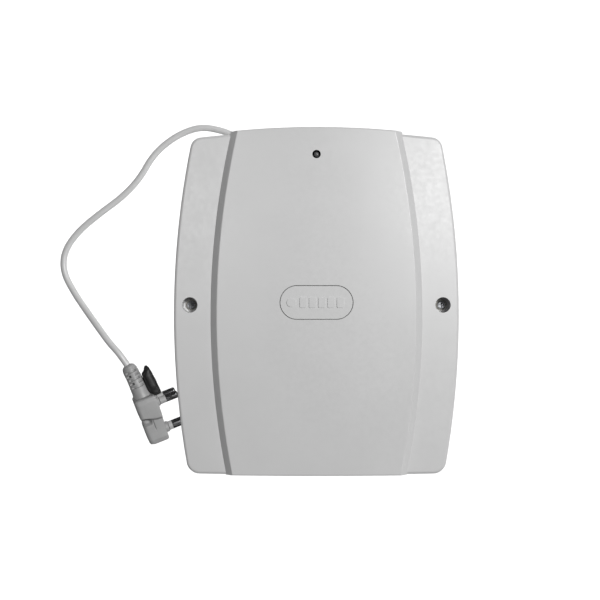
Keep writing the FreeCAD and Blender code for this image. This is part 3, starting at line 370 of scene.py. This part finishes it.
def loft(rings):
    """A closed skin over rings of points, with a fan at each end.
    Its faces look outwards where the rings run anticlockwise, seen from the last ring's side."""
    count = len(rings[0])
    verts = [point for around in rings for point in around]
    faces = []
    for i in range(len(rings) - 1):
        for j in range(count):
            a = i * count + j
            b = i * count + (j + 1) % count
            faces.append((a, b, b + count, a + count))
    for row, flip in ((0, True), (len(rings) - 1, False)):
        middle = sum((Vector(p) for p in rings[row]), Vector()) / count
        centre = len(verts)
        verts.append(middle)
        for j in range(count):
            a = row * count + j
            b = row * count + (j + 1) % count
            faces.append((centre, b, a) if flip else (centre, a, b))
    return verts, faces


def smooth_step(value, low, high):
    share = min(max((value - low) / (high - low), 0.0), 1.0)
    return share * share * (3.0 - 2.0 * share)


def between(pairs, value):
    """Smoothly follow (place, amount) pairs."""
    if value <= pairs[0][0]:
        return pairs[0][1]
    for (x0, y0), (x1, y1) in zip(pairs, pairs[1:]):
        if value <= x1:
            return y0 + (y1 - y0) * smooth_step(value, x0, x1)
    return pairs[-1][1]


# ---- Plug ----------------------------------------------------------------------------------------
PLUG_TURN = 19.9
PLUG_TILT = 7.5
PLUG_ROLL = 10.0
PLUG_TOP = 8.2
PLUG_BOTTOM = -38.0
BOOT_LENGTH = 34.0
PIN_SPACING = 25.4
EARTH_DISTANCE = 28.58
BACK_ROUND = 3.6
FRONT_ROUND = 1.3
CREASE_X = -10.8
CREASE_WIDTH = 0.38
CREASE_REACH = 1.3
COLLAR_RADIUS = 4.45
EARTH_COLLAR_RADIUS = 5.3
COLLAR_LENGTH = 2.5
BOOT_X = -11.6
BOOT_DRIFT = 2.6
TAB_ROOT = 5.6
TAB_END = 35.0
TAB_SQUARENESS = 0.7


def plug_matrix():
    """From the plug's own frame, in millimetres: +X along the pins, +Y towards the lead, +Z up."""
    turn = (Matrix.Rotation(math.radians(PLUG_TURN), 4, "Z")
            @ Matrix.Rotation(math.radians(PLUG_TILT), 4, "X")
            @ Matrix.Rotation(math.radians(PLUG_ROLL), 4, "Y"))
    return Matrix.Translation(MOUNTS["plug"]["pos_m"]) @ turn @ Matrix.Scale(MM, 4)


PLUG = plug_matrix()


def rounded_ring(y, back, front, half, steps=9):
    """A ring across Y: a rectangle in X and Z with rounded corners, its flat sides sunk by side_dip.
    It runs clockwise seen from +Y, so the body's faces look inwards: a known fault."""
    back_round, front_round = BACK_ROUND, FRONT_ROUND
    points = []
    marks = [back + back_round]
    marks += [marks[0] + (CREASE_X - CREASE_REACH - marks[0]) * k / 7 for k in range(1, 8)]
    marks += [CREASE_X + shift for shift in (-0.8, -0.5, -0.25, 0.0, 0.25, 0.5, 0.8, CREASE_REACH)]
    last = front - front_round
    marks += [marks[-1] + (last - marks[-1]) * k / 4 for k in range(1, 4)]

    def corner(x, z, radius, first):
        for i in range(steps):
            angle = math.radians(first + 90.0 - 90.0 * i / (steps - 1))
            across, height = x + radius * math.cos(angle), z + radius * math.sin(angle)
            points.append(Vector((across, y, height - math.copysign(side_dip(across, y), z))))

    corner(front - front_round, half - front_round, front_round, 0.0)
    corner(front - front_round, -half + front_round, front_round, -90.0)
    for x in reversed(marks[1:]):
        points.append(Vector((x, y, -half + side_dip(x, y))))
    corner(back + back_round, -half + back_round, back_round, -180.0)
    corner(back + back_round, half - back_round, back_round, -270.0)
    for x in marks[1:]:
        points.append(Vector((x, y, half - side_dip(x, y))))
    points.reverse()
    return points


def side_dip(x, y):
    """Depth of the step under the shoulder, of the finger hollow at its back end,
    and of the crease beside it."""
    below = -y - 9.0 - 4.4 * smooth_step(x, -22.0, -3.0)
    step = 3.9 * smooth_step(below, 0.0, 2.6)
    hollow = 4.2 * smooth_step(below, 0.8, 2.4) * (1.0 - smooth_step(-y, 15.4, 19.0))
    hollow *= 1.0 - smooth_step(x, -14.5, -10.5)
    line = 1.1 * math.exp(-((x - CREASE_X) / CREASE_WIDTH) ** 2)
    line *= smooth_step(-y, 12.5, 14.0) * (1.0 - smooth_step(-y, 22.5, 25.5))
    return step + hollow + line


def plug_body_rings():
    """Rings from the plug's bottom to its top, each the size that the edges have there."""
    half_width = [(-38.0, 17.2), (-36.6, 19.6), (-33.0, 20.6), (-17.0, 21.2), (3.5, 21.5),
                  (7.0, 20.6), (8.2, 19.2)]
    back_edge = [(-38.0, -18.2), (-36.6, -20.6), (-34.0, -21.3), (-20.0, -21.4), (-16.5, -20.6),
                 (-13.0, -20.9), (-10.0, -21.5), (6.0, -21.5), (7.6, -21.0), (8.2, -20.2)]
    front_edge = [(-38.0, -3.2), (-37.2, -2.0), (-36.4, -1.6), (0.0, 0.0), (4.0, 0.0),
                  (7.2, -0.8), (8.2, -2.4)]
    rings = []
    count = 110
    for i in range(count + 1):
        y = PLUG_BOTTOM + (PLUG_TOP - PLUG_BOTTOM) * i / count
        back, front = between(back_edge, y), between(front_edge, y)
        rings.append(rounded_ring(y, back, front, between(half_width, y)))
    return rings


def make_plug_body():
    """The moulded body, with a collar at the foot of each pin."""
    verts, faces = loft(plug_body_rings())

    def add(more):
        more_verts, more_faces = more
        first = len(verts)
        verts.extend(more_verts)
        faces.extend(tuple(first + index for index in face) for face in more_faces)

    for y, z, radius in ((0, PIN_SPACING / 2, COLLAR_RADIUS), (0, -PIN_SPACING / 2, COLLAR_RADIUS),
                         (-EARTH_DISTANCE, 0, EARTH_COLLAR_RADIUS)):
        collar = ((0.0, radius), (COLLAR_LENGTH, radius), (COLLAR_LENGTH + 0.5, radius - 0.5))
        add(turned((-1.0, y, z), "X", collar))
    piece = finish_piece("plug_shell", [PLUG @ v for v in verts], faces, "base", "plug_white")
    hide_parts("plug_body")
    return piece


def turned(place, axis, profile, around=40):
    """A solid of revolution from (distance along the axis, radius) pairs."""
    rings = []
    for along, radius in profile:
        ring = []
        for j in range(around):
            angle = 2 * math.pi * j / around
            c, s = radius * math.cos(angle), radius * math.sin(angle)
            offset = {"X": (along, c, s), "Y": (s, along, c), "Z": (c, s, along)}[axis]
            ring.append(Vector(place) + Vector(offset))
        rings.append(ring)
    return loft(rings)


def boot_centre(share):
    """The boot's centre line, which drifts to the back as it nears the lead."""
    return Vector((BOOT_X - BOOT_DRIFT * share ** 2, PLUG_TOP + BOOT_LENGTH * share, 0.0))


def make_plug_boot():
    """Strain relief: a plain neck, rows of staggered slots, and a plain rounded collar.
    Its rings run clockwise seen from the lead's end, so its faces look inwards: a known fault."""
    around = 96
    slot_depth = 2.6
    slot_half = 0.95
    wall = 0.12
    radius_at = [(-0.6, 9.0), (5.0, 8.2), (24.0, 7.4), (29.0, 7.3), (32.0, 6.4), (33.4, 5.0),
                 (34.0, 3.7)]
    rows = [11.7, 15.7, 19.6, 23.5, 27.4]
    stops = {-0.6, 0.4, 1.6, 3.0, 5.0, 7.0, 9.0, 29.2, 30.0, 30.8, 31.6, 32.2, 32.7, 33.1, 33.4,
             33.7, 33.9, 34.0}
    for row in rows:
        stops.update((row - slot_half - wall, row - slot_half, row + slot_half, row + slot_half + wall))
    rings = []
    for along in sorted(stops):
        share = along / BOOT_LENGTH
        centre = boot_centre(share)
        ahead = (boot_centre(share + 0.02) - boot_centre(share - 0.02)).normalized()
        side = ahead.cross(Vector((0, 0, 1))).normalized()
        up = side.cross(ahead)
        base = between(radius_at, along)
        cut_row = [k for k, row in enumerate(rows) if abs(along - row) <= slot_half + 1e-6]
        ring = []
        for j in range(around):
            angle = 2 * math.pi * j / around
            radius = base
            if cut_row:
                height = abs(math.sin(angle))
                odd_row = cut_row[0] % 2 == 1
                in_slot = 0.5 < height < 0.95 if odd_row else height > 0.62
                if in_slot:
                    radius = base - slot_depth
            ring.append(centre + side * radius * math.cos(angle) + up * radius * math.sin(angle))
        rings.append(ring)
    verts, faces = loft(rings)
    places = [PLUG @ v for v in verts]
    piece = finish_piece("plug_strain_relief", places, faces, "base", "plug_white", 35)
    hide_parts("plug_boot")
    return piece


def make_plug_tab():
    """Black finger tab: a thin cupped pad with a rounded top, rooted beside the boot."""
    low_x = [(5.6, -0.6), (8.6, -2.4), (12.0, -3.9), (19.0, -4.3), (28.0, -4.5), (32.0, -0.8),
             (34.4, 0.4), (35.0, 1.2)]
    high_x = [(5.6, 6.9), (7.0, 7.3), (18.0, 6.6), (27.0, 5.6), (32.0, 4.7), (34.2, 3.8),
              (35.0, 2.8)]
    half_at = [(5.6, 8.2), (9.0, 9.6), (16.0, 11.6), (26.0, 12.0), (31.5, 10.6), (34.2, 7.6),
               (35.0, 5.2)]
    rings = []
    count = 44
    around = 40
    for i in range(count + 1):
        y = TAB_ROOT + (TAB_END - TAB_ROOT) * i / count
        low, high, half = between(low_x, y), between(high_x, y), between(half_at, y)
        ring = []
        for j in range(around):
            angle = 2 * math.pi * j / around
            c, s = math.cos(angle), math.sin(angle)
            x = (low + high) / 2 + (high - low) / 2 * math.copysign(abs(c) ** TAB_SQUARENESS, c)
            z = half * math.copysign(abs(s) ** TAB_SQUARENESS, s)
            ring.append(Vector((x, y, z)))
        rings.append(ring[::-1])
    verts, faces = loft(rings)
    piece = finish_piece("plug_finger_tab", [PLUG @ v for v in verts], faces, "base", "plug_black")
    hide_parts("plug_tab")
    return piece


plug_parts = [make_plug_body(), make_plug_boot(), make_plug_tab()]

plug_parts += [NODES[name] for name in ("pin_line", "pin_neutral", "pin_earth", "pin_sleeves")]
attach(lead, "base")
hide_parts("mains_cord")
lead.data.materials.clear()
lead.data.materials.append(MATERIALS["lead_sheath"])


# ---- Small parts on the board, and the battery's label -------------------------------------------
BOARD_TOP = 13.6
BATTERY_TOP = 69.0
LABEL_Y = -74.0
LABEL_HALF_LENGTH = 50
LABEL_HALF_WIDTH = 12
WIRE_RADIUS = 0.3
WIRE_START = -0.3
DISC_HEIGHT = 5.8
DISC_WIRE_SPREAD = 2.0


def gather(name, solids, slot, material=None, sharp=40.0):
    """One piece from several closed solids, given in millimetres."""
    verts, faces = [], []
    for more_verts, more_faces in solids:
        start = len(verts)
        verts += [Vector(point) * MM for point in more_verts]
        faces += [tuple(start + i for i in face) for face in more_faces]
    return finish_piece(name, verts, faces, "base", slot, sharp, material and MATERIALS[material])


def rod(place, axis, start, end):
    """A straight stretch of a part's wire."""
    return turned(place, axis, [(start, WIRE_RADIUS), (end, WIRE_RADIUS)], 12)


def make_small_parts():
    """Resistors, diodes, disc capacitors and small capacitors, with their wires."""
    resistors, diodes, discs, cans, wires = [], [], [], [], []

    def lying(x, y, profile, reach, height, group):
        """A part that lies along X on two bent wires."""
        place = (x, y, BOARD_TOP + height)
        group.append(turned(place, "X", profile, 24))
        for side in (-1, 1):
            ends = sorted((side * profile[-1][0] * 0.9, side * (reach + WIRE_RADIUS)))
            wires.append(rod(place, "X", *ends))
            wires.append(rod((x + side * reach, y, BOARD_TOP), "Z", WIRE_START, height))

    bead = [(-3.2, 0.6), (-3.0, 1.05), (-2.5, 1.25), (-1.8, 1.0),
            (1.8, 1.0), (2.5, 1.25), (3.0, 1.05), (3.2, 0.6)]
    spots = [(76.0, 84.0 + 5.2 * k) for k in range(9)]
    spots += [(x, y) for x in (20.0, 34.0) for y in (40.5, 45.0, 49.5)]
    for x, y in spots:
        lying(x, y, bead, 5.0, 1.7, resistors)
    barrel = [(-2.6, 1.1), (-2.4, 1.35), (2.4, 1.35), (2.6, 1.1)]
    for y in (73.5, 79.0):
        lying(-11.0, y, barrel, 4.6, 1.9, diodes)
    disc = [(-1.3, 1.2), (-1.1, 2.6), (-0.6, 3.4), (0.0, 3.6), (0.6, 3.4), (1.1, 2.6), (1.3, 1.2)]
    for x, y in ((14.0, 76.0), (23.0, 76.0), (38.0, 107.0), (38.0, 128.0)):
        discs.append(turned((x, y, BOARD_TOP + DISC_HEIGHT), "Y", disc, 28))
        for side in (-1, 1):
            foot = (x + DISC_WIRE_SPREAD * side, y, BOARD_TOP)
            wires.append(rod(foot, "Z", WIRE_START, 4.2))
    can = [(0.0, 2.3), (0.5, 2.5), (0.9, 2.5), (1.2, 2.3), (1.5, 2.5), (7.4, 2.5), (7.8, 2.2)]
    for x, y in ((-8.0, 110.0), (-8.0, 118.5), (0.0, 110.0), (40.0, 77.0)):
        cans.append(turned((x, y, BOARD_TOP), "Z", can, 28))

    gather("board_resistors", resistors, "nylon", "resistor")
    gather("board_diodes", diodes, "epoxy_black")
    gather("board_disc_capacitors", discs, "block_cream", "ceramic")
    gather("board_small_capacitors", cans, "capacitor_sleeve")
    gather("board_part_wires", wires, "clip_metal")


def make_battery_label():
    """A blank label, sunk a little into the battery's top."""
    corner = [(LABEL_HALF_LENGTH * x, LABEL_Y + LABEL_HALF_WIDTH * y)
              for x, y in ((-1, -1), (1, -1), (1, 1), (-1, 1))]
    sheet = [[Vector((x, y, BATTERY_TOP + z)) for x, y in corner] for z in (-0.05, 0.15)]
    gather("battery_label", [loft(sheet)], "nylon", "label", 30.0)


make_small_parts()
make_battery_label()

# ---- Painted shade: a dark band at the bottom of the groove round the badge ----------------------
BADGE_Y = -1.4
BADGE_LENGTH = 68.4
BADGE_WIDTH = 32.0
BADGE_FLOOR = 88.1
SHADE_BAND_WIDTH = 0.72
SHADE_BAND_HEIGHT = 0.45


def pill_ring(inset, height, steps=40):
    """A ring of points round a shape with straight long sides and half-round ends."""
    half, radius = (BADGE_LENGTH - BADGE_WIDTH) / 2, BADGE_WIDTH / 2 - inset
    ring = []
    for side, first in ((1, -90.0), (-1, 90.0)):
        for i in range(steps + 1):
            angle = math.radians(first + 180.0 * i / steps)
            x, y = side * half + radius * math.cos(angle), BADGE_Y + radius * math.sin(angle)
            ring.append(Vector((x, y, height)))
    return ring


def make_badge_groove_shade():
    """A closed dark band with a rectangular section, round the badge: painted shade that darkens the
    groove's floor.
    """
    low, high = BADGE_FLOOR, BADGE_FLOOR + SHADE_BAND_HEIGHT
    section = ((0.0, low), (0.0, high), (SHADE_BAND_WIDTH, high), (SHADE_BAND_WIDTH, low))
    rings = [pill_ring(inset, height) for inset, height in section]
    count = len(rings[0])
    verts = [point * MM for ring in rings for point in ring]
    faces = []
    for k in range(len(rings)):
        for j in range(count):
            a, b = k * count + j, k * count + (j + 1) % count
            shift = ((k + 1) % len(rings) - k) * count
            faces.append((a, b, b + shift, a + shift))
    finish_piece("badge_groove_shade", verts, faces, "cover", "enclosure", 30.0, MATERIALS["groove_shade"])


make_badge_groove_shade()

# ---- Floor and light -----------------------------------------------------------------------------
FLOOR_SIZE = 60.0
FLOOR_DROP = 0.0002
KEY_PLACE = (2.30, 1.20, 4.60)
KEY_AIM = (0, 0, 0.05)
KEY_SIZE = 1.0
KEY_POWER = 264
KEY_POWER_ON_LEAD = 250
# Each glow's name, place, power and size
GLOWS = (("glow_right", (0.43, 0.25, 1.60), 6.4, 0.20),
         ("glow_left", (-0.40, 0.20, 1.60), 4.0, 0.34))
GLOW_AIM = (0, 0.06, 0.08)
FLOOR_LIGHT_PLACE = (0.1, 0.1, 2.4)
FLOOR_LIGHT_POWER = 10
FLOOR_LIGHT_SIZE = 2.4
FLOOR_SUN_PLACE = (0, 0, 3.0)
FLOOR_SUN_POWER = 3.5
ORIGIN = (0, 0, 0)
AMBIENT = 0.055
BACKGROUND = 1.05


def make_floor():
    half = FLOOR_SIZE / 2
    mesh = bpy.data.meshes.new("floor")
    corners = [(-half, -half, 0), (half, -half, 0), (half, half, 0), (-half, half, 0)]
    mesh.from_pydata(corners, [], [(0, 1, 2, 3)])
    floor = bpy.data.objects.new("floor", mesh)
    bpy.context.scene.collection.objects.link(floor)
    floor.location.z = -FLOOR_DROP
    paper = Shader("floor", grey(0.86), 0.9, specular=0.0)
    paper.shade(paper.noise(0.4), 0.3, 0.7, -0.01)
    mesh.materials.append(paper.material)
    floor.visible_glossy = False
    floor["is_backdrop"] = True
    return floor


def collection_of(name, things):
    group = bpy.data.collections.new(name)
    for thing in things:
        group.objects.link(thing)
    return group


def light(kind, name, place, aim, power, size=None, receivers=None, blockers=None):
    """A light that shines on the receivers only, and that only the blockers shade.
    Without receivers it shines on everything, and without blockers everything shades it."""
    lamp = bpy.data.objects.new(name, bpy.data.lights.new(name, kind))
    bpy.context.scene.collection.objects.link(lamp)
    lamp.data.energy = power
    if kind == "AREA":
        lamp.data.shape = "DISK"
        lamp.data.size = size
    lamp.location = place
    lamp.rotation_euler = (Vector(aim) - Vector(place)).to_track_quat("-Z", "Y").to_euler()
    lamp.visible_camera = False
    if receivers:
        lamp.light_linking.receiver_collection = receivers
    if blockers:
        lamp.light_linking.blocker_collection = blockers
    return lamp


def make_studio():
    """Linked lights, a dim world for the light, and a pale one that only the camera sees."""
    floor = make_floor()
    loose = [lead] + plug_parts
    unit = [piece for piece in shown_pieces() if piece not in loose]
    on_floor = collection_of("on_floor", [floor])
    on_unit = collection_of("on_unit", unit)
    on_loose = collection_of("on_loose", loose)
    on_cover = collection_of("on_cover", [NODES["cover"], NODES["badge_plate"]])
    light("AREA", "key", KEY_PLACE, KEY_AIM, KEY_POWER, KEY_SIZE, on_unit)
    light("AREA", "key_on_lead", KEY_PLACE, KEY_AIM, KEY_POWER_ON_LEAD, KEY_SIZE, on_loose, on_loose)
    for name, place, power, size in GLOWS:
        glow = light("AREA", name, place, GLOW_AIM, power, size, on_cover)
        glow.visible_diffuse = False
    light("AREA", "floor_soft", FLOOR_LIGHT_PLACE, ORIGIN, FLOOR_LIGHT_POWER, FLOOR_LIGHT_SIZE, on_floor)
    light("SUN", "floor_sun", FLOOR_SUN_PLACE, ORIGIN, FLOOR_SUN_POWER, None, on_floor, on_floor)

    world = bpy.data.worlds.new("studio")
    world.use_nodes = True
    nodes, links = world.node_tree.nodes, world.node_tree.links
    dim = nodes["Background"]
    dim.inputs["Color"].default_value = (1, 1, 1, 1)
    dim.inputs["Strength"].default_value = AMBIENT
    pale = nodes.new("ShaderNodeBackground")
    pale.inputs["Color"].default_value = (1, 1, 1, 1)
    pale.inputs["Strength"].default_value = BACKGROUND
    seen = nodes.new("ShaderNodeLightPath")
    mix = nodes.new("ShaderNodeMixShader")
    links.new(seen.outputs["Is Camera Ray"], mix.inputs[0])
    links.new(dim.outputs[0], mix.inputs[1])
    links.new(pale.outputs[0], mix.inputs[2])
    links.new(mix.outputs[0], nodes["World Output"].inputs["Surface"])
    bpy.context.scene.world = world
    bpy.context.scene.view_settings.view_transform = "Standard"


make_studio()
